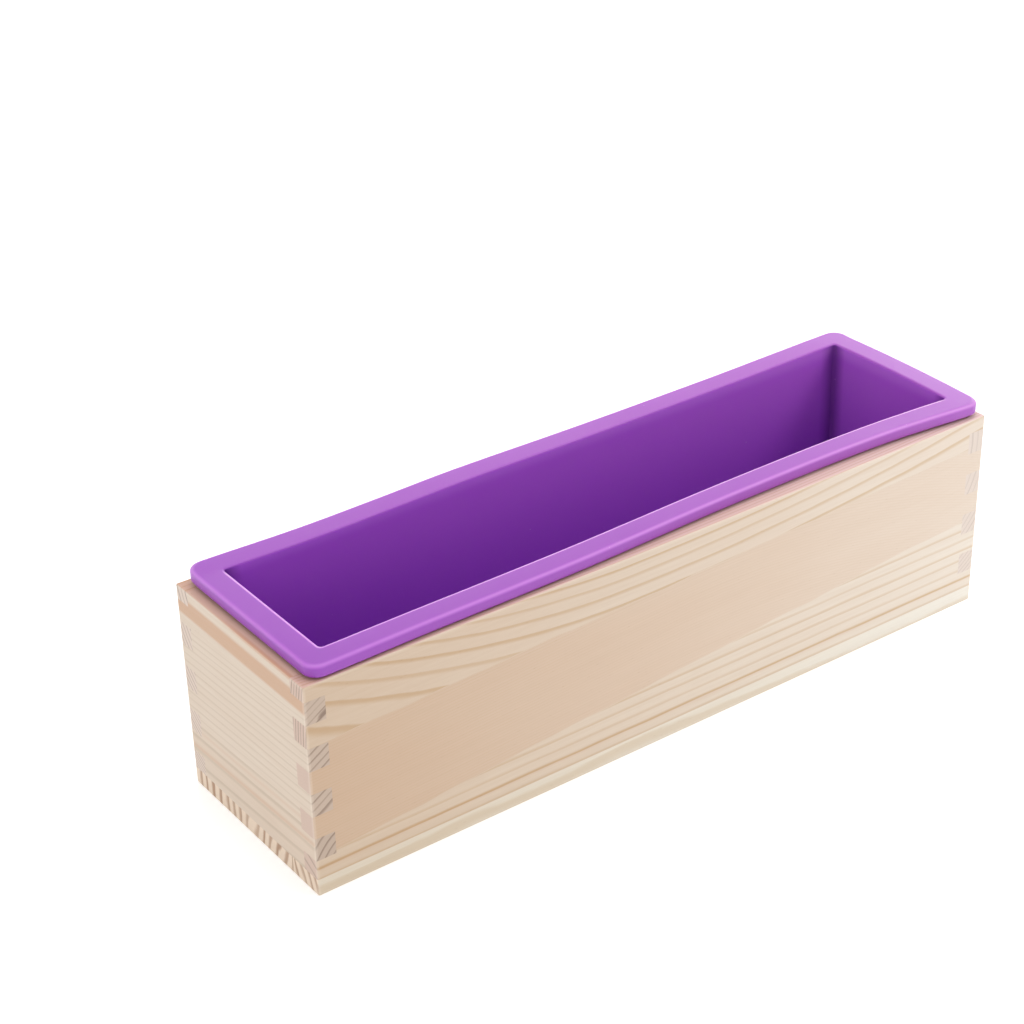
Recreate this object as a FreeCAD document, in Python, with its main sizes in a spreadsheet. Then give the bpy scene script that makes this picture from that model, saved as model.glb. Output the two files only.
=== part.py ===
"""Soap loaf mould: a finger-jointed pine box with a lift-out silicone liner.

Frame: millimetres, +Z up, origin at the bottom centre of the box, +X along its length.
The box stands on its bottom board. Two long side boards and two end boards stand on that
board and lock together at the corners with finger joints. The silicone liner drops in from
above, rests on the bottom board and carries a thick rim that overhangs the wooden walls.
"""
import FreeCAD, Part
import os
import Sketcher

# alias, value (mm, or a count), what it is
DIMENSIONS = [
    ("box_length", 300.0, "outside length of the wooden box"),
    ("box_width", 80.5, "outside width of the wooden box"),
    ("box_height", 80.5, "height of the wooden box, bottom board included"),
    ("board_thick", 7.7, "thickness of the side and end boards"),
    ("floor_thick", 6.6, "thickness of the bottom board"),
    ("finger_height", 8.7, "height of one finger of the corner joint"),
    ("top_finger", 5.5, "height of the cut-off finger at the top of each side board"),
    ("finger_count", 4, "fingers on each side of an end board"),
    ("edge_round", 0.6, "rounding of the sanded outside edges"),
    ("liner_wall", 1.8, "thickness of the liner's walls"),
    ("liner_floor", 2.0, "thickness of the liner's floor"),
    ("side_gap", 0.3, "clearance between the liner and each side board"),
    ("end_gap", 2.0, "clearance between the liner and each end board"),
    ("rim_length", 295.6, "length over the liner's rim"),
    ("rim_width", 79.5, "width over the liner's rim"),
    ("rim_thick", 4.4, "thickness of the rim"),
    ("rim_above", 6.3, "height of the rim's top above the top of the boards"),
    ("rim_corner", 5.0, "radius of the rim's corners, seen from above"),
    ("rim_edge", 0.8, "rounding of the rim's top and bottom edges"),
    ("cavity_corner", 1.2, "radius of the cavity's upright corners"),
    ("cavity_foot", 1.5, "radius where the cavity's walls meet its floor"),
]

doc = FreeCAD.newDocument("SoapLoafMould")


def make_sheet():
    """Write the driving dimensions into a spreadsheet, one aliased cell each."""
    sheet = doc.addObject("Spreadsheet::Sheet", "Dimensions")
    for row, (alias, value, note) in enumerate(DIMENSIONS, start=1):
        sheet.set(f"A{row}", alias)
        sheet.set(f"B{row}", str(value))
        sheet.setAlias(f"B{row}", alias)
        sheet.set(f"C{row}", note)
    doc.recompute()
    return sheet


def from_sheet(expression):
    """Prefix every alias in an expression with the sheet's name."""
    for alias, _, _ in DIMENSIONS:
        expression = expression.replace(alias, f"Dimensions.{alias}")
    return expression


def bind(target, prop, expression):
    target.setExpression(prop, from_sheet(expression))


# ---------------------------------------------------------------- sketch helpers

def new_sketch(body, role, name, lift=None):
    """A sketch on one of the body's origin planes, raised along its normal by lift."""
    sketch = body.newObject("Sketcher::SketchObject", name)
    plane = next(f for f in body.Origin.OriginFeatures if f.Role == role)
    sketch.AttachmentSupport = (plane, "")
    sketch.MapMode = "FlatFace"
    if lift:
        bind(sketch, "AttachmentOffset.Base.z", lift)
    return sketch


def pin(sketch, line, end, axis, expression):
    """Hold one end of a line at a distance from the sketch's origin, along X or Y."""
    index = sketch.addConstraint(Sketcher.Constraint(f"Distance{axis}", -1, 1, line, end, 1.0))
    bind(sketch, f"Constraints[{index}]", expression)


def rectangle(sketch, left, right, bottom, top):
    """A rectangle whose four edges are placed by expressions."""
    corners = [FreeCAD.Vector(x, y, 0) for x, y in ((1, 1), (2, 1), (2, 2), (1, 2))]
    first = sketch.GeometryCount
    for a, b in zip(corners, corners[1:] + corners[:1]):
        sketch.addGeometry(Part.LineSegment(a, b), False)
    for side in range(4):
        sketch.addConstraint(
            Sketcher.Constraint("Coincident", first + side, 2, first + (side + 1) % 4, 1))
        direction = "Vertical" if side % 2 else "Horizontal"
        sketch.addConstraint(Sketcher.Constraint(direction, first + side))
    pin(sketch, first, 1, "X", left)
    pin(sketch, first, 1, "Y", bottom)
    pin(sketch, first + 2, 1, "X", right)
    pin(sketch, first + 2, 1, "Y", top)


# --------------------------------------------------------------- feature helpers

def pad(body, sketch, name, length, reverse=False):
    feature = body.newObject("PartDesign::Pad", name)
    feature.Profile = sketch
    feature.Reversed = reverse
    bind(feature, "Length", length)
    doc.recompute()
    return feature


def pocket(body, sketch, name, depth, reverse=False):
    """Cut a pocket, and make sure that it took material away."""
    before = body.Shape.Volume
    feature = body.newObject("PartDesign::Pocket", name)
    feature.Profile = sketch
    feature.Reversed = reverse
    bind(feature, "Length", depth)
    doc.recompute()
    if body.Shape.Volume > before - 1.0:
        raise RuntimeError(f"{name} cut nothing")
    return feature


def stack_upwards(body, feature, name):
    """Repeat one finger or notch up the sketch's vertical axis."""
    pattern = body.newObject("PartDesign::LinearPattern", name)
    pattern.Originals = [feature]
    pattern.Direction = (feature.Profile[0], ["V_Axis"])
    pattern.Mode = "Spacing"
    bind(pattern, "Offset", "2 * finger_height")
    bind(pattern, "Occurrences", "finger_count")
    body.Tip = pattern
    doc.recompute()
    return pattern


def round_edges(body, name, radius, wanted):
    """Fillet the edges of the body's tip whose centre and direction satisfy wanted()."""
    tip = body.Tip
    names = []
    for number, edge in enumerate(tip.Shape.Edges, start=1):
        start, end = edge.Vertexes[0].Point, edge.Vertexes[-1].Point
        if wanted((start + end) * 0.5, end - start):
            names.append(f"Edge{number}")
    if not names:
        raise RuntimeError(f"{name} found no edges")
    fillet = body.newObject("PartDesign::Fillet", name)
    fillet.Base = (tip, names)
    bind(fillet, "Radius", radius)
    doc.recompute()
    return fillet


def close(a, b):
    return abs(a - b) < 0.01


def upright(direction):
    return close(direction.x, 0) and close(direction.y, 0)


# -------------------------------------------------------------------- sub-parts

def side_board(sheet, label, turned):
    """A long board, its outer face on the body's XZ plane, with notches at both ends."""
    body = doc.addObject("PartDesign::Body", label)
    outline = new_sketch(body, "XZ_Plane", label + "_outline")
    rectangle(outline, "-box_length / 2", "box_length / 2", "0", "box_height - floor_thick")
    pad(body, outline, label + "_board", "board_thick", reverse=True)

    lowest = "box_height - floor_thick - top_finger - (2 * finger_count - 1) * finger_height"
    notch = new_sketch(body, "XZ_Plane", label + "_notch_outline")
    for left, right in (("-box_length / 2", "-box_length / 2 + board_thick"),
                        ("box_length / 2 - board_thick", "box_length / 2")):
        rectangle(notch, left, right, lowest, lowest + " + finger_height")
    cut = pocket(body, notch, label + "_notch", "board_thick")
    stack_upwards(body, cut, label + "_notches")

    half, top = sheet.box_length / 2, sheet.box_height - sheet.floor_thick

    def outside(centre, direction):
        at_end = close(abs(centre.x), half)
        corner = at_end and close(centre.y, 0) and upright(direction)
        top_edge = close(centre.z, top) and (close(centre.y, 0) or at_end)
        return corner or top_edge

    round_edges(body, label + "_sanding", "edge_round", outside)
    place(body, "y", "box_width / 2", turned)
    return body


def end_board(sheet, label, turned):
    """A short board, its outer face on the body's YZ plane, with fingers on both sides."""
    body = doc.addObject("PartDesign::Body", label)
    inner = "(box_width / 2 - board_thick)"
    outline = new_sketch(body, "YZ_Plane", label + "_outline")
    rectangle(outline, "-" + inner, inner, "0", "box_height - floor_thick")
    pad(body, outline, label + "_board", "board_thick")

    lowest = "box_height - floor_thick - top_finger - (2 * finger_count - 1) * finger_height"
    finger = new_sketch(body, "YZ_Plane", label + "_finger_outline")
    for left, right in (("-box_width / 2", "-" + inner), (inner, "box_width / 2")):
        rectangle(finger, left, right, lowest, lowest + " + finger_height")
    tongue = pad(body, finger, label + "_finger", "board_thick")
    stack_upwards(body, tongue, label + "_fingers")

    half, top = sheet.box_width / 2, sheet.box_height - sheet.floor_thick

    def outside(centre, direction):
        at_face = close(centre.x, 0)
        corner = at_face and close(abs(centre.y), half) and upright(direction)
        return corner or (at_face and close(centre.z, top))

    round_edges(body, label + "_sanding", "edge_round", outside)
    place(body, "x", "box_length / 2", turned)
    return body


def place(body, axis, distance, turned):
    """Stand a wall board on the bottom board, at one side of the box or turned to the other."""
    if turned:
        body.Placement.Rotation = FreeCAD.Rotation(FreeCAD.Vector(0, 0, 1), 180)
    sign = "" if turned else "-"
    bind(body, f"Placement.Base.{axis}", sign + distance)
    bind(body, "Placement.Base.z", "floor_thick")


def bottom_board(sheet, label):
    """The board that closes the box, glued under all four walls."""
    body = doc.addObject("PartDesign::Body", label)
    outline = new_sketch(body, "XY_Plane", label + "_outline")
    rectangle(outline, "-box_length / 2", "box_length / 2", "-box_width / 2", "box_width / 2")
    pad(body, outline, label + "_board", "floor_thick")
    round_edges(body, label + "_sanding", "edge_round",
                lambda centre, direction: upright(direction) or close(centre.z, 0))
    return body


def silicone_liner(sheet, label):
    """The moulded liner: a thin-walled tub with a thick overhanging rim."""
    body = doc.addObject("PartDesign::Body", label)
    tub_length = "(box_length / 2 - board_thick - end_gap)"
    tub_width = "(box_width / 2 - board_thick - side_gap)"
    rim_top = "(box_height - floor_thick + rim_above)"

    tub = new_sketch(body, "XY_Plane", label + "_tub_outline")
    rectangle(tub, "-" + tub_length, tub_length, "-" + tub_width, tub_width)
    pad(body, tub, label + "_tub", rim_top)
    round_edges(body, label + "_tub_edges", "cavity_corner + liner_wall",
                lambda centre, direction: upright(direction))

    rim = new_sketch(body, "XY_Plane", label + "_rim_outline", lift=rim_top)
    rectangle(rim, "-rim_length / 2", "rim_length / 2", "-rim_width / 2", "rim_width / 2")
    pad(body, rim, label + "_rim", "rim_thick", reverse=True)
    overhang = sheet.rim_length / 2
    round_edges(body, label + "_rim_corners", "rim_corner",
                lambda centre, direction: upright(direction) and close(abs(centre.x), overhang))

    cavity = new_sketch(body, "XY_Plane", label + "_cavity_outline", lift=rim_top)
    rectangle(cavity, f"-({tub_length} - liner_wall)", f"{tub_length} - liner_wall",
              f"-({tub_width} - liner_wall)", f"{tub_width} - liner_wall")
    pocket(body, cavity, label + "_cavity", f"{rim_top} - liner_floor")

    inner_end = sheet.box_length / 2 - sheet.board_thick - sheet.end_gap - sheet.liner_wall
    round_edges(body, label + "_cavity_corners", "cavity_corner",
                lambda centre, direction: upright(direction) and close(abs(centre.x), inner_end))
    round_edges(body, label + "_cavity_foot", "cavity_foot",
                lambda centre, direction: close(centre.z, sheet.liner_floor))

    top = sheet.box_height - sheet.floor_thick + sheet.rim_above
    rim_levels = (top, top - sheet.rim_thick)

    def rim_outline(centre, direction):
        outside_tub = abs(centre.x) > inner_end + 4 or abs(centre.y) > sheet.rim_width / 2 - 2
        return outside_tub and any(close(centre.z, level) for level in rim_levels)

    round_edges(body, label + "_rim_edges", "rim_edge", rim_outline)
    bind(body, "Placement.Base.z", "floor_thick")
    return body


# ------------------------------------------------------------------------ build

def check(parts):
    """Stop on a failed feature, or on a sub-part that isn't one valid solid."""
    for item in doc.Objects:
        if "Invalid" in item.State or "Error" in item.State:
            raise RuntimeError(f"{item.Name} failed: {item.State}")
    for body in parts:
        shape = body.Shape
        if shape.isNull() or not shape.isValid() or len(shape.Solids) != 1:
            raise RuntimeError(f"{body.Label} is not one valid solid")


def export(parts):
    os.makedirs("parts", exist_ok=True)
    for body in parts:
        body.Shape.exportStep(f"parts/{body.Label}.step")
        box = body.Shape.BoundBox
        print(f"{body.Label}: {box.XLength:.1f} x {box.YLength:.1f} x {box.ZLength:.1f} mm,"
              f" from z {box.ZMin:.1f}, {body.Shape.Volume / 1000:.1f} cm3")


sheet = make_sheet()
parts = [
    side_board(sheet, "side_board_front", turned=False),
    side_board(sheet, "side_board_back", turned=True),
    end_board(sheet, "end_board_left", turned=False),
    end_board(sheet, "end_board_right", turned=True),
    bottom_board(sheet, "bottom_board"),
    silicone_liner(sheet, "silicone_liner"),
]
doc.recompute()
check(parts)
export(parts)
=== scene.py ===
"""Looks of the soap loaf mould: bare pine boards and a soft violet silicone liner."""
import math
from collections import namedtuple

import bmesh
import bpy
from mathutils import Matrix, Vector


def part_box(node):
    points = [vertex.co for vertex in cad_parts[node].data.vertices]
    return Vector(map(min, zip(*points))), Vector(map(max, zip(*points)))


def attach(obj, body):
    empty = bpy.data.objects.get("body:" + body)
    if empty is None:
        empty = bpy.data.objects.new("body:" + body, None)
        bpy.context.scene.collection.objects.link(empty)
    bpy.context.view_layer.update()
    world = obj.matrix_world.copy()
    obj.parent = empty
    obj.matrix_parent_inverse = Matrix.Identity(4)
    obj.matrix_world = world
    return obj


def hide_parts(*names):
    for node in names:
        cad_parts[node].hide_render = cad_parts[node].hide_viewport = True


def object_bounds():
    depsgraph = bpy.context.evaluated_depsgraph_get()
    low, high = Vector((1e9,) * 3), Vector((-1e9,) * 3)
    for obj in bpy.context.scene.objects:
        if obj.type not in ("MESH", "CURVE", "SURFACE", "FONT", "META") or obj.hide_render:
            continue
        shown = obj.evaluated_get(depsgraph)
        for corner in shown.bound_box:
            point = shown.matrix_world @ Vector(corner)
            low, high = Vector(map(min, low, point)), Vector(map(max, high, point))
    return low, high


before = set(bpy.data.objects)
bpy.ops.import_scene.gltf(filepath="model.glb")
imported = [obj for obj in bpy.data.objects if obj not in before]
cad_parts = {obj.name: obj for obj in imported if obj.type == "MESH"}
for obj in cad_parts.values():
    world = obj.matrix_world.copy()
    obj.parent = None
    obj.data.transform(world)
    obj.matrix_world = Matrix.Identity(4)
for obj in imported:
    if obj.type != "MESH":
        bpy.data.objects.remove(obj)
cad_low, cad_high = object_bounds()

MM = 0.001
HALF_LENGTH = cad_high.x / MM      # the box's own half sizes, in mm
HALF_WIDTH = cad_high.y / MM

# ------------------------------------------------------------------ camera and light

CAMERA_AZIMUTH = -35.57    # degrees round the object, from the middle of the near long side
CAMERA_ELEVATION = 28.89
CAMERA_ROLL = -1.44
CAMERA_DISTANCE = 0.8014   # metres from the object's middle, along the line of sight
CAMERA_ASIDE = (-0.0338, 0.0293)   # how far the camera stands off that line, right and up
CAMERA_LENS = 77.71        # millimetres
SENSOR_WIDTH = 36.0
CLIP_NEAR, CLIP_FAR = 0.01, 100.0
AIM_HEIGHT = 0.0398

WHITE = (1.0, 1.0, 1.0, 1.0)
SKY_STRENGTH = 0.77
FLOOR_SIZE = 14.0
FLOOR_COLOUR = (0.90, 0.90, 0.90, 1.0)
FLOOR_ROUGHNESS = 0.9
FLOOR_GLOSS = 0.1
FLOOR_GLOW = 0.30

Light = namedtuple("Light", "name place aim size power")
LIGHTS = (
    Light("key", (0.85, -0.78, 1.0), (0.05, 0.0, 0.05), 0.6, 4.6),
    Light("overhead", (0.1, 0.1, 1.4), (0.0, 0.0, 0.05), 0.8, 5.6),
    Light("left", (-1.2, -0.1, 0.7), (0.0, 0.0, 0.05), 0.5, 2.0),
    Light("rear_right", (1.25, 0.75, 0.65), (0.1, 0.0, 0.05), 0.5, 2.2),
    Light("backdrop", (0.75, 1.3, 0.25), (0.0, 0.0, 0.05), 0.9, 5.0),
)


def make_camera():
    """The camera, turned so that it looks along -back with up upwards."""
    azimuth, elevation, roll = map(
        math.radians, (CAMERA_AZIMUTH, CAMERA_ELEVATION, CAMERA_ROLL))
    back = Vector((math.sin(azimuth) * math.cos(elevation),
                   -math.cos(azimuth) * math.cos(elevation),
                   math.sin(elevation)))
    level_right = Vector((math.cos(azimuth), math.sin(azimuth), 0.0))
    level_up = back.cross(level_right)
    right = math.cos(roll) * level_right + math.sin(roll) * level_up
    up = math.cos(roll) * level_up - math.sin(roll) * level_right
    place = (Vector((0.0, 0.0, AIM_HEIGHT)) + back * CAMERA_DISTANCE
             + right * CAMERA_ASIDE[0] + up * CAMERA_ASIDE[1])
    data = bpy.data.cameras.new("camera")
    data.lens = CAMERA_LENS
    data.sensor_width = SENSOR_WIDTH
    data.clip_start = CLIP_NEAR
    data.clip_end = CLIP_FAR
    camera = bpy.data.objects.new("camera", data)
    turn = Matrix((right, up, back)).transposed().to_4x4()
    camera.matrix_world = Matrix.Translation(place) @ turn
    bpy.context.scene.collection.objects.link(camera)
    bpy.context.scene.camera = camera


def make_light(light):
    """A round soft light, aimed at a point."""
    data = bpy.data.lights.new(light.name, "AREA")
    data.shape = "DISK"
    data.size = light.size
    data.energy = light.power
    lamp = bpy.data.objects.new(light.name, data)
    lamp.location = light.place
    lamp.rotation_mode = "QUATERNION"
    lamp.rotation_quaternion = (Vector(light.aim) - Vector(light.place)).to_track_quat("-Z", "Y")
    bpy.context.scene.collection.objects.link(lamp)


def make_sky():
    """An even white sky, and colours shown as they are."""
    world = bpy.data.worlds.new("studio")
    world.use_nodes = True
    sky = world.node_tree.nodes["Background"]
    sky.inputs["Color"].default_value = WHITE
    sky.inputs["Strength"].default_value = SKY_STRENGTH
    bpy.context.scene.world = world
    bpy.context.scene.view_settings.view_transform = "Standard"


def make_floor():
    """A pale floor that glows a little."""
    bpy.ops.mesh.primitive_plane_add(size=FLOOR_SIZE)
    floor = bpy.context.object
    floor.name = "floor"
    material = bpy.data.materials.new("floor")
    material.use_nodes = True
    shader = material.node_tree.nodes["Principled BSDF"]
    shader.inputs["Base Color"].default_value = FLOOR_COLOUR
    shader.inputs["Roughness"].default_value = FLOOR_ROUGHNESS
    shader.inputs["Specular IOR Level"].default_value = FLOOR_GLOSS
    shader.inputs["Emission Color"].default_value = WHITE
    shader.inputs["Emission Strength"].default_value = FLOOR_GLOW
    floor.data.materials.append(material)


def make_studio():
    """A white room."""
    make_sky()
    for light in LIGHTS:
        make_light(light)
    make_floor()


# ------------------------------------------------- materials written as arithmetic

class Field:
    """A number at every point of a surface. Arithmetic on fields makes the shader's nodes."""

    def __init__(self, tree, socket):
        self.tree = tree
        self.socket = socket

    def math(self, operation, *others):
        """The result of one of Blender's Math nodes."""
        node = self.tree.nodes.new("ShaderNodeMath")
        node.operation = operation
        for slot, value in zip(node.inputs, (self, *others)):
            connect(self.tree, value, slot)
        return Field(self.tree, node.outputs[0])

    def __add__(self, other):
        return self.math("ADD", other)

    def __sub__(self, other):
        return self.math("SUBTRACT", other)

    def __mul__(self, other):
        return self.math("MULTIPLY", other)

    def __truediv__(self, other):
        return self.math("DIVIDE", other)

    def __pow__(self, other):
        return self.math("POWER", other)

    def __neg__(self):
        return self * -1.0

    def __rsub__(self, other):
        return self * -1.0 + other

    def square(self):
        return self * self

    def size(self):
        return self.math("ABSOLUTE")

    def whole(self):
        return self.math("FLOOR")

    def fraction(self):
        return self.math("FRACT")

    def least(self, other):
        return self.math("MINIMUM", other)

    def most(self, other):
        return self.math("MAXIMUM", other)

    def rise(self, low, high):
        """0 below low, 1 above high, and a smooth step between; falls if low is the larger."""
        node = self.tree.nodes.new("ShaderNodeMapRange")
        node.interpolation_type = "SMOOTHSTEP"
        connect(self.tree, self, node.inputs["Value"])
        connect(self.tree, low, node.inputs["From Min"])
        connect(self.tree, high, node.inputs["From Max"])
        return Field(self.tree, node.outputs["Result"])

    def peak(self, centre, width):
        """1 at centre, falling smoothly to nothing over about twice the width."""
        return (-((self - centre) / width).square()).math("EXPONENT")


def connect(tree, value, slot):
    """Link a field to a node's input, or set a plain number or colour on it."""
    if isinstance(value, Field):
        tree.links.new(value.socket, slot)
    else:
        slot.default_value = value


class Surface:
    """One material's node tree, with the fields that every material starts from."""

    def __init__(self, name):
        self.material = bpy.data.materials.new(name)
        self.material.use_nodes = True
        self.tree = self.material.node_tree
        self.shader = self.tree.nodes["Principled BSDF"]
        coordinates = self.tree.nodes.new("ShaderNodeTexCoord")
        self.x, self.y, self.z = self.split(coordinates.outputs["Object"], 1.0 / MM)
        self.normal = self.split(coordinates.outputs["Normal"], 1.0)

    def split(self, socket, scale):
        """A vector's three numbers, each times scale."""
        node = self.tree.nodes.new("ShaderNodeSeparateXYZ")
        self.tree.links.new(socket, node.inputs[0])
        return tuple(Field(self.tree, out) * scale for out in node.outputs)

    def point(self, x, y, z):
        """Three numbers as one vector."""
        node = self.tree.nodes.new("ShaderNodeCombineXYZ")
        for slot, value in zip(node.inputs, (x, y, z)):
            connect(self.tree, value, slot)
        return Field(self.tree, node.outputs[0])

    def noise(self, x, y, z, detail=2.0, roughness=0.5):
        """Smooth noise about 0, mostly between -0.5 and 0.5, one lump per unit of x, y, z."""
        node = self.tree.nodes.new("ShaderNodeTexNoise")
        connect(self.tree, self.point(x, y, z), node.inputs["Vector"])
        node.inputs["Scale"].default_value = 1.0
        node.inputs["Detail"].default_value = detail
        node.inputs["Roughness"].default_value = roughness
        return Field(self.tree, node.outputs["Fac"]) - 0.5

    def cells(self, x, y, z):
        """Distance to the nearest of many scattered points, one per unit cube."""
        node = self.tree.nodes.new("ShaderNodeTexVoronoi")
        connect(self.tree, self.point(x, y, z), node.inputs["Vector"])
        node.inputs["Scale"].default_value = 1.0
        return Field(self.tree, node.outputs["Distance"])

    def random(self, value):
        """A fixed random number from 0 to 1 for each value."""
        node = self.tree.nodes.new("ShaderNodeTexWhiteNoise")
        node.noise_dimensions = "1D"
        connect(self.tree, value, node.inputs["W"])
        return Field(self.tree, node.outputs["Value"])

    def even(self, value):
        """The same number all over."""
        return self.z * 0.0 + value

    def attribute(self, name):
        """A number stored at the mesh's points."""
        node = self.tree.nodes.new("ShaderNodeAttribute")
        node.attribute_name = name
        return Field(self.tree, node.outputs["Fac"])

    def blend(self, share, under, over, mode="MIX"):
        """Mix two colours, given as (r, g, b) or as a field."""
        node = self.tree.nodes.new("ShaderNodeMix")
        node.data_type = "RGBA"
        node.blend_type = mode
        connect(self.tree, share, node.inputs["Factor"])
        for slot, value in ((node.inputs["A"], under), (node.inputs["B"], over)):
            connect(self.tree, value if isinstance(value, Field) else (*value, 1.0), slot)
        return Field(self.tree, node.outputs["Result"])

    def shade(self, colour, place, half, low_end, high_end):
        """Multiply a colour by one that changes evenly from low_end to high_end, as the
        coordinate place goes from -half to half."""
        tint = self.blend((place + half) / (2.0 * half), low_end, high_end)
        return self.blend(1.0, colour, tint, "MULTIPLY")

    def finish(self, colour, roughness, height, depth):
        """Plug colour, roughness and a height field, in units of depth metres, into the shader."""
        bump = self.tree.nodes.new("ShaderNodeBump")
        bump.inputs["Strength"].default_value = 1.0
        bump.inputs["Distance"].default_value = depth
        connect(self.tree, height, bump.inputs["Height"])
        connect(self.tree, colour, self.shader.inputs["Base Color"])
        connect(self.tree, roughness, self.shader.inputs["Roughness"])
        self.tree.links.new(bump.outputs["Normal"], self.shader.inputs["Normal"])
        return self.material


# -------------------------------------------------------------------------- pine

# how a board was cut from its log: the ring number at each point, how strongly the ring lines
# show on the planed faces, how orange the wood is, and how strongly they show on the cut ends,
# where more than 1 darkens the wood between the lines too
Grain = namedtuple("Grain", "number lines warm cut_lines")

CREAM = (0.665, 0.560, 0.460)
ORANGE = (0.570, 0.370, 0.252)
GOLD_LINE = (0.520, 0.350, 0.200)
GREY_LINE = (0.540, 0.435, 0.335)
STREAK = (0.560, 0.420, 0.310)
PORE = (0.330, 0.200, 0.120)
CUT_LINE = (0.235, 0.165, 0.125)
CUT_PORE = (0.380, 0.270, 0.210)
PLAIN = (1.0, 1.0, 1.0)
# painted shade on the boards' upward faces, under and beside the liner's rim, with painted violet
# light from the liner in it
TOP_PAINTED_SHADE = (0.93, 0.74, 0.68)
WORN = (0.80, 0.69, 0.58)
PLAIN_CUT = (0.57, 0.45, 0.385)
PINE_GLOSS = 0.35
PINE_DEPTH = 0.00006      # metres, the relief of the sanded wood


def worn_edges(s):
    """1 along the box's outside edges, where handling has rubbed them pale, and 0 elsewhere."""
    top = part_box("side_board_front")[1].z / MM
    from_end = HALF_LENGTH - s.x.size()
    from_side = HALF_WIDTH - s.y.size()
    from_top = (s.z - top).size().least(s.z)
    nearest_corner = from_end.least(from_side).most(from_end.most(from_side).least(from_top))
    return nearest_corner.rise(1.3, 0.2)


def late_wood(s, grain, along, across, up, seed):
    """The dark late wood of each year's ring, from 0 to 1, with the rings wandering a little and
    some of them stronger than others."""
    wander = s.noise(along / 45.0, across / 9.0 + seed, up / 9.0)
    fine_wander = s.noise(along / 9.0, across / 2.2 - seed, up / 2.2)
    number = grain.number + wander * 0.25 + fine_wander * 0.06
    ring = number.whole()
    part = number.fraction()
    strength = s.random(ring + seed) * 0.45 + 0.55
    return part.rise(0.60, 0.86) * part.rise(1.0, 0.91) * strength


def planed_colour(s, grain, late, streaks, along, across, up, seed, line):
    """Cream wood, orange in places, with ring lines, streaks and resin canals, which are short
    hair-thin brown dashes along the fibres, mostly in the late wood."""
    bands = s.noise(along / 60.0, across / 1.5 - seed, up / 1.5, 2.0, 0.6)
    broad = s.noise(along / 70.0 + seed, across / 18.0, up / 18.0)
    colour = s.blend((grain.warm + broad * 0.25).most(0.0), CREAM, ORANGE)
    colour = s.blend((late * grain.lines).least(1.0), colour, line)
    colour = s.blend(((streaks + bands) * 0.5 + 0.12).most(0.0), colour, STREAK)
    canals = s.cells(along / 5.5, across / 0.9, up / 0.9).rise(0.16, 0.05) * (late * 0.7 + 0.2)
    return s.blend(canals * 0.35, colour, PORE)


def cut_end_colour(s, grain, late, pores, cut, cut_line):
    """The cut ends are duller, with the rings as darker lines, and pores."""
    dark = late * grain.cut_lines.least(1.0) + (grain.cut_lines - 1.0).most(0.0)
    colour = s.blend(dark.least(1.0) * 0.9, cut, cut_line)
    return s.blend((pores * 0.7 + 0.05).most(0.0), colour, CUT_PORE)


def pine(name, fibre, rings, seed, line=GOLD_LINE, cut=PLAIN_CUT, cut_line=CUT_LINE,
         tint=(PLAIN, PLAIN), top_painted_shade=TOP_PAINTED_SHADE):
    """Bare sanded pine with its fibres along one axis. rings gives its grain, line and cut_line
    are the colours of the ring lines on planed faces and cut ends, cut is the cut ends' own
    colour, tint shades the planed faces at the board's left and right ends, changing evenly
    between them, partly as the wood's own tone and partly as painted light, brighter and paler
    towards the right end, and the upward faces are multiplied by painted shade, with painted
    violet light from the liner in it. Every noise here is long along the fibres and thin across
    them, with its sizes in mm."""
    s = Surface(name)
    along, across, up = (s.x, s.y, s.z) if fibre == "x" else (s.y, s.x, s.z)
    end_on = s.normal[0 if fibre == "x" else 1].size().rise(0.55, 0.9)

    grain = rings(s)
    late = late_wood(s, grain, along, across, up, seed)
    streaks = s.noise(along / 16.0, across / 0.45 + seed, up / 0.45, 3.0, 0.6)
    fibres = s.noise(along / 2.6, across / 0.12, up / 0.12 + seed, 2.0, 0.6)
    pores = s.noise(along / 3.0, across / 0.16, up / 0.16, 2.0, 0.7)
    worn = worn_edges(s)

    colour = planed_colour(s, grain, late, streaks, along, across, up, seed, line)
    # where the tint changes along the board it is partly the wood's own tone and partly painted
    # light, brighter and paler towards the right end
    colour = s.shade(colour, s.x, HALF_LENGTH, *tint)
    colour = s.blend(end_on, colour, cut_end_colour(s, grain, late, pores, cut, cut_line))
    colour = s.blend(worn * 0.25, colour, WORN)
    # painted shade, with painted violet light from the liner, on the upward faces
    colour = s.blend(s.normal[2].rise(0.6, 0.9), colour, top_painted_shade, "MULTIPLY")

    roughness = late * -0.08 + fibres * 0.12 + end_on * 0.15 - worn * 0.08 + 0.62
    height = late * grain.lines * 0.25 + fibres * 0.5 + streaks * 0.35 + end_on * pores * 0.9
    s.shader.inputs["Specular IOR Level"].default_value = PINE_GLOSS
    return s.finish(colour, roughness, height, PINE_DEPTH)


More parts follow.
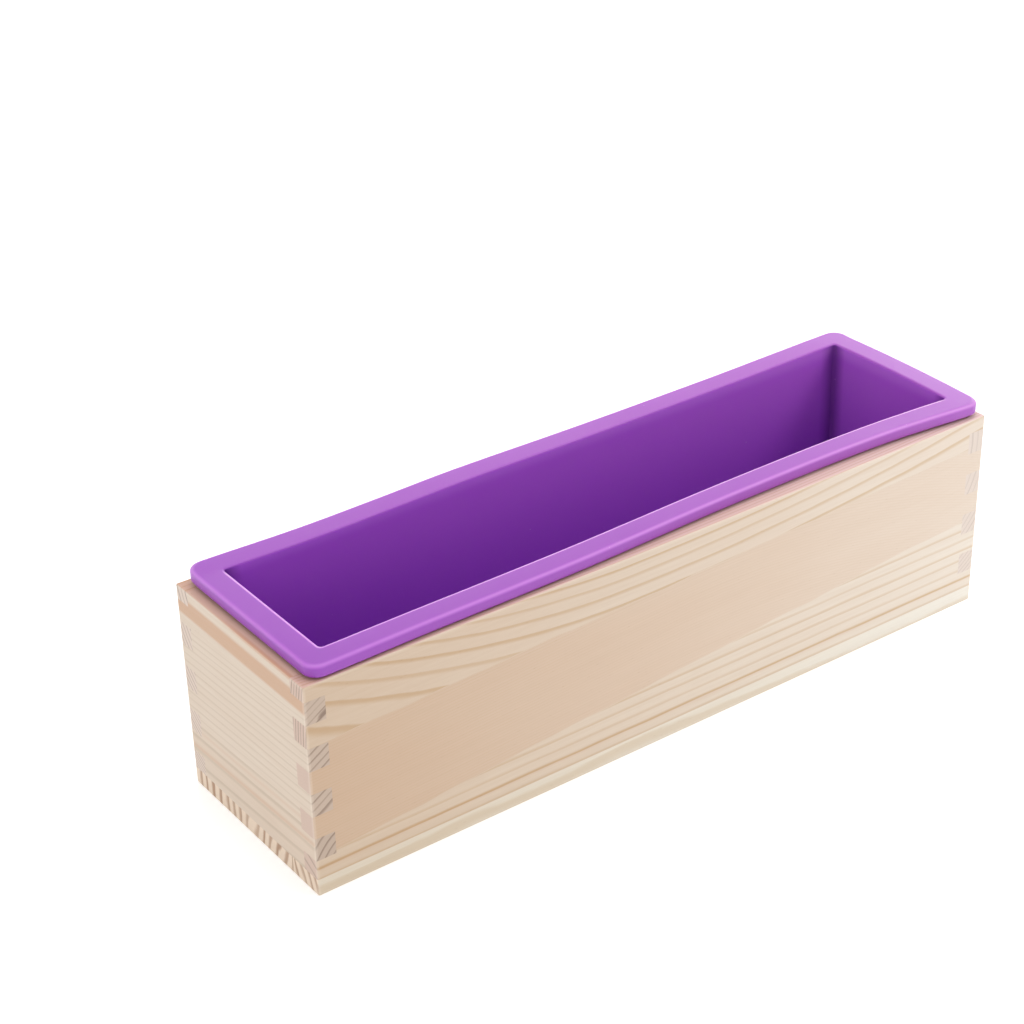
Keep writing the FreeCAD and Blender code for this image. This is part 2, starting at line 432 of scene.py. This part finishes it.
def front_board_rings(s):
    """A flat-sawn face: long drooping waves on top, a plain warm band, close straight lines."""
    from_left = s.x + HALF_LENGTH
    into = s.y + HALF_WIDTH
    wobble = s.noise(s.x / 30.0, s.y / 20.0, s.z / 14.0)

    crest = 135.0
    droop = (crest - from_left).most(0.0).square() * 0.00136 \
        + (from_left - crest).most(0.0).square() * 0.00046
    arched = (s.z - droop - 20.0).square() / 478.0 + into / 1.5
    level = (41.0 - s.z) / 4.35 + into * 0.13
    bend = (from_left - 150.0).most(0.0).square() * 0.0014
    slanted = (s.z - from_left * 0.05 + bend) / 1.15 + into / 3.0

    upper = (s.z - (from_left * 0.036 + 57.5) + wobble * 2.5).rise(-0.3, 0.3)
    lower = ((from_left * 0.078 + 15.0) - s.z + wobble * 2.5).rise(-0.3, 0.3)
    middle = 1.0 - upper - lower

    number = arched * upper + level * lower + slanted * middle
    fine = 0.30 - from_left * 0.0003
    bold = (s.z + wobble * 1.6).peak(11.0, 0.8)
    lines = upper * 0.85 + lower * 0.65 + middle * fine + bold * 0.5
    warm = middle * (0.46 - from_left * 0.0006) + bold * 0.3 + upper * 0.12 + 0.03
    cut_lines = s.z.rise(52.0, 56.0) * 0.94 + s.z.rise(20.0, 16.0) * 0.5 + 0.06
    return Grain(number, lines, warm, cut_lines)


def back_board_rings(s):
    """Rings round a heart above the box's cavity, which drifts up and down along the board."""
    drift = s.noise(s.x / 130.0, 0.5, 0.5) * 16.0
    number = ((s.y + 20.0).square() + (s.z - 100.0 - drift).square()) / 300.0
    lines = s.z.rise(10.0, 70.0) * 0.3 + 0.4
    return Grain(number, lines, s.z.rise(30.0, 60.0) * 0.25, s.even(0.8))


def left_end_rings(s):
    """Close level lines, wide apart near the bottom, and orange bands along the top."""
    into = s.x + HALF_LENGTH
    steepness = (28.0 - s.z).most(0.0) * 0.09 + 0.65
    level = s.z - into * steepness + s.y * 0.05 - 0.5
    number = (level - 28.2).most(0.0) / 3.05 + (level - 28.2).least(0.0) / 5.8 \
        + (level - 59.0).most(0.0) * 0.075 - 0.12
    untilted = s.z - into * 0.65
    band = untilted.rise(69.6, 71.4) * untilted.rise(78.0, 75.8)
    top_band = untilted.rise(79.2, 80.2) * s.y.rise(20.0, -10.0)
    bold = level.peak(18.1, 1.0) + level.peak(25.4, 0.9) * 0.6
    lines = level.rise(30.0, 26.0) * 0.35 + level.rise(69.0, 66.0) * 0.75
    patch = level.peak(61.8, 1.6) * into.rise(3.0, 6.0)
    cut_lines = s.z.rise(64.0, 58.0) * 0.4 + s.z.rise(24.0, 22.0) * 0.2 + patch * 1.5 + 0.5
    warm = (band + top_band) * 1.1 + bold * 0.5 + level.rise(30.0, 20.0) * 0.10
    return Grain(number, lines, warm, cut_lines)


def right_end_rings(s):
    """Rings round a heart inside the box, near its top."""
    number = ((s.x - 104.0).square() + (s.z - 70.0 + s.y * 0.03).square()) / 236.0
    lines = s.z.rise(80.0, 30.0) * 0.25 + 0.4
    return Grain(number, lines, s.even(0.15), s.even(0.3))


def bottom_rings(s):
    """Upright lines on the cut end, leaning one way and then the other across the board."""
    from_far = HALF_WIDTH - s.y
    lean = from_far.rise(25.0, 45.0) * from_far.rise(66.0, 63.0) * -0.35 \
        + from_far.rise(64.0, 67.0) * 0.45
    number = (from_far + lean * s.z) / 4.6 + s.noise(s.x / 200.0, s.y / 11.0, 0.0) * 1.8
    broad_late_wood = number.whole() + number.fraction() ** 0.5
    return Grain(broad_late_wood, s.even(0.5), s.even(-0.04), s.even(1.0))


# --------------------------------------------------------------------- the boards

WELD_REACH = 0.00001      # metres
EASED = 0.00012           # metres, how far the sharp edges are rounded
SHARP_ANGLE = 50.0        # degrees


def dress_board(node, material):
    """Ease the board's sharp edges a hair and give it its wood."""
    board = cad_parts[node]
    for slot in board.material_slots:
        slot.material = material
    weld = board.modifiers.new("weld", "WELD")
    weld.merge_threshold = WELD_REACH
    bevel = board.modifiers.new("eased_edges", "BEVEL")
    bevel.width = EASED
    bevel.segments = 2
    bevel.limit_method = "ANGLE"
    bevel.angle_limit = math.radians(SHARP_ANGLE)
    bevel.harden_normals = False


# ---------------------------------------------------------------------- the liner

# sizes of the liner's section, in mm
LINER_WALL = 1.8
LINER_FLOOR = 2.0
RIM_REACH = 9.3          # from the cavity's wall out to the rim's edge
RIM_THICK = 4.9
RIM_CORNER = 5.0
RIM_EDGE = 1.15
LIP = 0.7                # rounding where the cavity's wall meets the rim's top
CAVITY_CORNER = 1.2
CAVITY_FOOT = 1.5
TUB_CORNER = 3.0
TUB_FOOT = 2.0
UNDER_RIM = 0.5          # rounding where the rim's underside meets the wall
SUPPORT = 0.25           # how close a flat face's last row of points is to a rounding

CORNER_STEPS = 8
LONG_STEPS = 96
SHORT_STEPS = 24

# how the soft rim sits, as (x, mm) points: its rise, and its pull in towards the middle
FRONT_RISE = [(-147, -1.0), (-16, -0.9), (48, -0.85), (80, -0.75), (122, -0.6), (147, -0.6)]
FRONT_PULL = [(-147, -0.2), (-104, 0.7), (-72, 1.0), (-40, 1.55), (-16, 2.6), (16, 4.15),
              (48, 5.0), (80, 5.15), (104, 4.45), (122, 2.9), (147, 0.8)]
BACK_RISE = [(-147, -0.6), (-104, -0.8), (-72, -0.5), (-40, 0.0), (16, -0.1), (80, 0.2),
             (112, 0.6), (147, 0.9)]
BACK_PULL = [(-147, 0.5), (-104, 1.25), (-72, 0.9), (-40, 0.5), (16, 0.75), (80, 0.55),
             (147, -0.2)]
SLID = 1.2               # the liner has slid this far towards the right end
END_RISE = 0.8           # the middle of the rim's right end stands this much higher
END_RISE_FROM = 100.0    # where that rise starts, and over what length it grows
END_RISE_OVER = 40.0
BACK_CURL = 0.5          # the back rim's outer edge curls up this much
FOLLOW_DEPTH = 45.0      # the walls follow the rim's waves this far below it
LIP_HIGHLIGHT_REACH = 2.0         # how far in from the cavity's wall the lip's painted highlight is looked for
LIP_HIGHLIGHT_STOP = 3.0          # how far before the back and right sides the lip's painted highlight stops
CREASE = 7.0             # painted shade: the tub is darker within this distance of its upright corners

# how strong the painted highlight on the silicone's edge is along the rounding of the lip, and
# of the rim's outer edge
LIP_HIGHLIGHT_FADE = (0.0, 0.0, 0.1, 0.4, 0.8, 1.0)
EDGE_HIGHLIGHT_FADE = (0.1, 0.3, 0.5, 0.5, 0.3, 0.1)


def along_curve(points, x):
    """Smooth curve through a few (x, value) points, level at both ends."""
    if x <= points[0][0]:
        return points[0][1]
    for i in range(len(points) - 1):
        (x0, v0), (x1, v1) = points[i], points[i + 1]
        if x <= x1:
            before = points[max(i - 1, 0)]
            after = points[min(i + 2, len(points) - 1)]
            slope0 = (v1 - before[1]) / (x1 - before[0]) if i else 0.0
            slope1 = (after[1] - v0) / (after[0] - x0) if i + 2 < len(points) else 0.0
            span = x1 - x0
            t = (x - x0) / span
            return ((2 * t**3 - 3 * t**2 + 1) * v0 + (t**3 - 2 * t**2 + t) * span * slope0
                    + (3 * t**2 - 2 * t**3) * v1 + (t**3 - t**2) * span * slope1)
    return points[-1][1]


def clamp(value):
    """The value, kept from 0 to 1."""
    return min(max(value, 0.0), 1.0)


def smooth(value):
    """0 up to 0, 1 from 1, and a smooth step between."""
    t = clamp(value)
    return t * t * (3.0 - 2.0 * t)


def arc(centre, radius, start, turn, steps=5):
    """Points on an arc from the start angle through the turn, both in degrees."""
    angles = [math.radians(start + turn * i / steps) for i in range(steps + 1)]
    return [(centre[0] + radius * math.cos(a), centre[1] + radius * math.sin(a)) for a in angles]


def straight(start, end, steps):
    """Points between two points of a section, without the two themselves."""
    across, up = end[0] - start[0], end[1] - start[1]
    return [(start[0] + across * i / steps, start[1] + up * i / steps) for i in range(1, steps)]


def rounded_rectangle(half_x, half_y, radius):
    """Points round a rectangle with round corners, always the same number of them."""
    corners = [(half_x, -half_y), (half_x, half_y), (-half_x, half_y), (-half_x, -half_y)]
    steps = (SHORT_STEPS, LONG_STEPS, SHORT_STEPS, LONG_STEPS)
    arcs = []
    for i, (x, y) in enumerate(corners):
        middle = (x - math.copysign(radius, x), y - math.copysign(radius, y))
        arcs.append(arc(middle, radius, 90.0 * i - 90.0, 90.0, CORNER_STEPS))
    points = []
    for i in range(4):
        points += arcs[i] + straight(arcs[i][-1], arcs[(i + 1) % 4][0], steps[i])
    return points


def rows(points, radius, edges=(0.0,)):
    """Rows of the liner's section: (distance out from the cavity's wall, z, corner radius,
    edge). radius may be two radii, for the first and the last row. edge is how strong the
    painted highlight is there: 1 on the lip, less on the rim's outer edge."""
    first, last = radius if isinstance(radius, tuple) else (radius, radius)
    count = max(len(points) - 1, 1)
    return [(out, z, first + (last - first) * i / count, edges[min(i, len(edges) - 1)])
            for i, (out, z) in enumerate(points)]


def inside_rows(bottom, top):
    """From the cavity's floor up to its lip."""
    foot = bottom + LINER_FLOOR + CAVITY_FOOT
    wall_top = (0.0, top - LIP - SUPPORT)
    section = rows(arc((-CAVITY_FOOT, foot), CAVITY_FOOT, -90.0, 90.0), CAVITY_CORNER)
    section += rows(straight((0.0, foot), wall_top, 15), CAVITY_CORNER)
    return section + rows([wall_top], CAVITY_CORNER)


def rim_rows(top):
    """Over the lip and the rim's top, round its outer edge and in along its underside."""
    under = top - RIM_THICK
    outer = RIM_REACH - RIM_EDGE
    lip_radius = CAVITY_CORNER + LIP
    lip_end = (LIP + 2.0 * SUPPORT, top)
    top_end = (outer - SUPPORT, top)
    section = rows(arc((LIP, top - LIP), LIP, 180.0, -90.0), (CAVITY_CORNER, lip_radius),
                   LIP_HIGHLIGHT_FADE)
    section += rows([(LIP + SUPPORT, top)], lip_radius, (1.0,))
    section += rows([lip_end], lip_radius)
    section += rows(straight(lip_end, top_end, 6), (lip_radius, RIM_CORNER))
    section += rows([top_end], RIM_CORNER)
    section += rows(arc((outer, top - RIM_EDGE), RIM_EDGE, 90.0, -90.0), RIM_CORNER, EDGE_HIGHLIGHT_FADE)
    section += rows([(RIM_REACH, top - RIM_EDGE - SUPPORT), (RIM_REACH, top - RIM_THICK / 2.0),
                     (RIM_REACH, under + RIM_EDGE + SUPPORT)], RIM_CORNER)
    section += rows(arc((outer, under + RIM_EDGE), RIM_EDGE, 0.0, -90.0), RIM_CORNER)
    section += rows([(outer - SUPPORT, under)], RIM_CORNER)
    return section + rows(straight((outer - SUPPORT, under), (LINER_WALL + UNDER_RIM, under), 5),
                          (RIM_CORNER, TUB_CORNER))


def outside_rows(bottom, top):
    """From the rim's underside down the tub's outside to its foot."""
    wall_top = top - RIM_THICK - UNDER_RIM
    foot = bottom + TUB_FOOT
    section = rows(arc((LINER_WALL + UNDER_RIM, wall_top), UNDER_RIM, 90.0, 90.0, 4), TUB_CORNER)
    section += rows(straight((LINER_WALL, wall_top), (LINER_WALL, foot), 12), TUB_CORNER)
    return section + rows(arc((LINER_WALL - TUB_FOOT, foot), TUB_FOOT, 0.0, -90.0, 4),
                          (TUB_CORNER, TUB_CORNER - 1.0))


def settle(x, y, z, high):
    """Let the soft rim wave: it rises, dips and pulls in, and the walls follow below it. high
    is the rim's highest corner before that."""
    share = clamp((y / high.y + 1.0) / 2.0)
    rise = along_curve(FRONT_RISE, x) * (1.0 - share) + along_curve(BACK_RISE, x) * share
    rise += END_RISE * smooth((x - END_RISE_FROM) / END_RISE_OVER) * (1.0 - (y / high.y) ** 2)
    rise += BACK_CURL * clamp((y - high.y + RIM_REACH) / RIM_REACH)
    pull = along_curve(FRONT_PULL, x) * (1.0 - share) - along_curve(BACK_PULL, x) * share
    follow = smooth(1.0 - (high.z - z) / FOLLOW_DEPTH)
    return x + SLID, y + pull * follow, z + rise * follow


def lip_highlight_side(x, y, half_x, half_y):
    """Whether a point on the cavity's lip is on its front or left side, where a painted highlight
    runs along the lip."""
    left = x < LIP_HIGHLIGHT_REACH - half_x and y < half_y - LIP_HIGHLIGHT_STOP
    front = y < LIP_HIGHLIGHT_REACH - half_y and x < half_x - LIP_HIGHLIGHT_STOP
    return left or front


def liner_loops(mesh):
    """A loop of points for each row of the section. Each point carries how strong the painted
    highlight on its edge is, whether it is inside the cavity, and how near it is to an upright
    corner there, for the painted shade in the corners."""
    low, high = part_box("silicone_liner")
    bottom, top = low.z / MM, high.z / MM
    corner = high / MM
    half_x, half_y = corner.x - RIM_REACH, corner.y - RIM_REACH
    pale, inside, crease_shade = (mesh.verts.layers.float.new(name)
                            for name in ("edge", "inside", "crease_shade"))
    section = inside_rows(bottom, top) + rim_rows(top) + outside_rows(bottom, top)
    loops = []
    for out, z, radius, edge in section:
        on_lip = out <= LIP + SUPPORT
        loop = []
        for x, y in rounded_rectangle(half_x + out, half_y + out, radius):
            point = mesh.verts.new([c * MM for c in settle(x, y, z, corner)])
            # the lip's painted highlight is kept only on its front and left sides
            point[pale] = 0.0 if on_lip and not lip_highlight_side(x, y, half_x, half_y) else edge
            if out <= 0.0:
                from_corner = math.hypot(half_x + out - abs(x), half_y + out - abs(y))
                point[inside] = 1.0
                # how near an upright corner the point is, for the painted shade there
                point[crease_shade] = smooth(1.0 - from_corner / CREASE)
            loop.append(point)
        loops.append(loop)
    return loops


def liner_mesh():
    """The loops joined by faces and closed at both ends: the cavity's floor and the foot."""
    mesh = bmesh.new()
    loops = liner_loops(mesh)
    for inner, outer in zip(loops, loops[1:]):
        for i in range(len(inner)):
            j = (i + 1) % len(inner)
            mesh.faces.new((inner[i], inner[j], outer[j], outer[i]))
    mesh.faces.new(reversed(loops[0]))
    mesh.faces.new(loops[-1])
    bmesh.ops.recalc_face_normals(mesh, faces=mesh.faces)
    data = bpy.data.meshes.new("liner_soft")
    mesh.to_mesh(data)
    mesh.free()
    for polygon in data.polygons:
        polygon.use_smooth = True
    return data


def make_liner():
    """The soft liner, in place of the straight one."""
    data = liner_mesh()
    liner = bpy.data.objects.new("liner_soft", data)
    bpy.context.scene.collection.objects.link(liner)
    data.materials.append(silicone())
    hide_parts("silicone_liner")
    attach(liner, "liner")


# the silicone's colours: two that mix in faint clouds, the cavity's walls at half height, near
# the rim and at the lip, darker deeper down as painted shade and paler at the lip as painted
# light, then the painted shade of the upright corners, the painted highlight on the thin edges
# and the dust
VIOLET = (0.320, 0.074, 0.472)
PALER_VIOLET = (0.340, 0.084, 0.492)
WALL_LOW = (0.300, 0.050, 0.535)
WALL_HIGH = (0.370, 0.074, 0.605)
WALL_LIP = (0.440, 0.110, 0.660)
CREASE_SHADE_VIOLET = (0.110, 0.015, 0.230)
EDGE_HIGHLIGHT_VIOLET = (0.66, 0.30, 0.76)
DUST = (0.65, 0.45, 0.72)

# painted light and sheen: its colours brighten and grow paler from the left end to the
# right, and from the front to the back
LEFT_PAINTED_LIGHT, RIGHT_PAINTED_LIGHT = (0.94, 0.88, 0.96), (1.15, 1.30, 1.04)
FRONT_PAINTED_LIGHT, BACK_PAINTED_LIGHT = (0.97, 0.95, 0.95), (1.06, 1.24, 1.02)

# light passing into it: how much, how far red, green and blue go, and the scale in metres
INTO_WEIGHT = 0.45
INTO_RADIUS = (1.0, 0.45, 1.2)
INTO_SCALE = 0.004
SILICONE_IOR = 1.41
SILICONE_DEPTH = 0.00004  # metres, the relief of the moulded surface


def silicone():
    """Satin violet silicone, a little light passing into it, with a painted highlight along its
    thin edges, painted shade in its cavity and corners, painted light brighter towards the right
    and the back, faint mould marks and specks of dust."""
    s = Surface("violet_silicone")
    cloud = s.noise(s.x / 28.0, s.y / 28.0, s.z / 28.0)
    skin = s.noise(s.x / 0.6, s.y / 0.6, s.z / 0.6, 3.0, 0.6)
    dust = s.cells(s.x / 9.0, s.y / 9.0, s.z / 9.0).rise(0.035, 0.01)

    # painted shade and light in the cavity: its walls darker deeper down, paler at the lip
    inner = s.blend(s.z.rise(80.0, 40.0), WALL_HIGH, WALL_LOW)
    inner = s.blend(s.z.rise(81.0, 86.0), inner, WALL_LIP)
    colour = s.blend(cloud + skin * 0.6 + 0.5, VIOLET, PALER_VIOLET)
    colour = s.blend(s.attribute("inside"), colour, inner)
    # painted shade in the cavity's upright corners
    colour = s.blend(s.attribute("crease_shade") * 0.8, colour, CREASE_SHADE_VIOLET)
    # painted highlight along the rim's outer edge and on the lip's front and left sides
    colour = s.blend(s.attribute("edge"), colour, EDGE_HIGHLIGHT_VIOLET)
    # painted light and sheen, stronger towards the right end and the back
    colour = s.shade(colour, s.x, HALF_LENGTH, LEFT_PAINTED_LIGHT, RIGHT_PAINTED_LIGHT)
    colour = s.shade(colour, s.y, HALF_WIDTH, FRONT_PAINTED_LIGHT, BACK_PAINTED_LIGHT)
    colour = s.blend(dust * 0.4, colour, DUST)

    s.shader.inputs["Subsurface Weight"].default_value = INTO_WEIGHT
    s.shader.inputs["Subsurface Radius"].default_value = INTO_RADIUS
    s.shader.inputs["Subsurface Scale"].default_value = INTO_SCALE
    s.shader.inputs["IOR"].default_value = SILICONE_IOR
    roughness = skin * 0.08 + cloud * 0.05 + 0.34
    return s.finish(colour, roughness, skin * 0.4 + cloud, SILICONE_DEPTH)


# ------------------------------------------------------------------------ assembly

make_camera()
make_studio()
# front board: its tint is partly its own tone and partly painted light; its top gets painted shade
# with painted violet light
dress_board("side_board_front", pine(
    "pine_front", "x", front_board_rings, 3.1, cut=(0.59, 0.45, 0.375),
    tint=((0.88, 0.83, 0.76), (1.12, 1.20, 1.28)), top_painted_shade=(1.00, 0.84, 0.92)))
dress_board("side_board_back", pine(
    "pine_back", "x", back_board_rings, 8.3, cut=(0.66, 0.55, 0.475)))
dress_board("end_board_left", pine(
    "pine_end_left", "y", left_end_rings, 5.9, line=GREY_LINE, cut=(0.51, 0.40, 0.32),
    tint=((0.965, 0.97, 0.972), (0.965, 0.97, 0.972))))
dress_board("end_board_right", pine(
    "pine_end_right", "y", right_end_rings, 11.4, line=GREY_LINE, cut=(0.71, 0.615, 0.55)))
# bottom board: its tint is partly its own tone and partly painted light, brighter and paler to the
# right
dress_board("bottom_board", pine(
    "pine_bottom", "x", bottom_rings, 2.6, cut=(0.74, 0.605, 0.48), cut_line=(0.35, 0.20, 0.12),
    tint=((0.97, 1.02, 1.01), (1.18, 1.33, 1.46))))
make_liner()
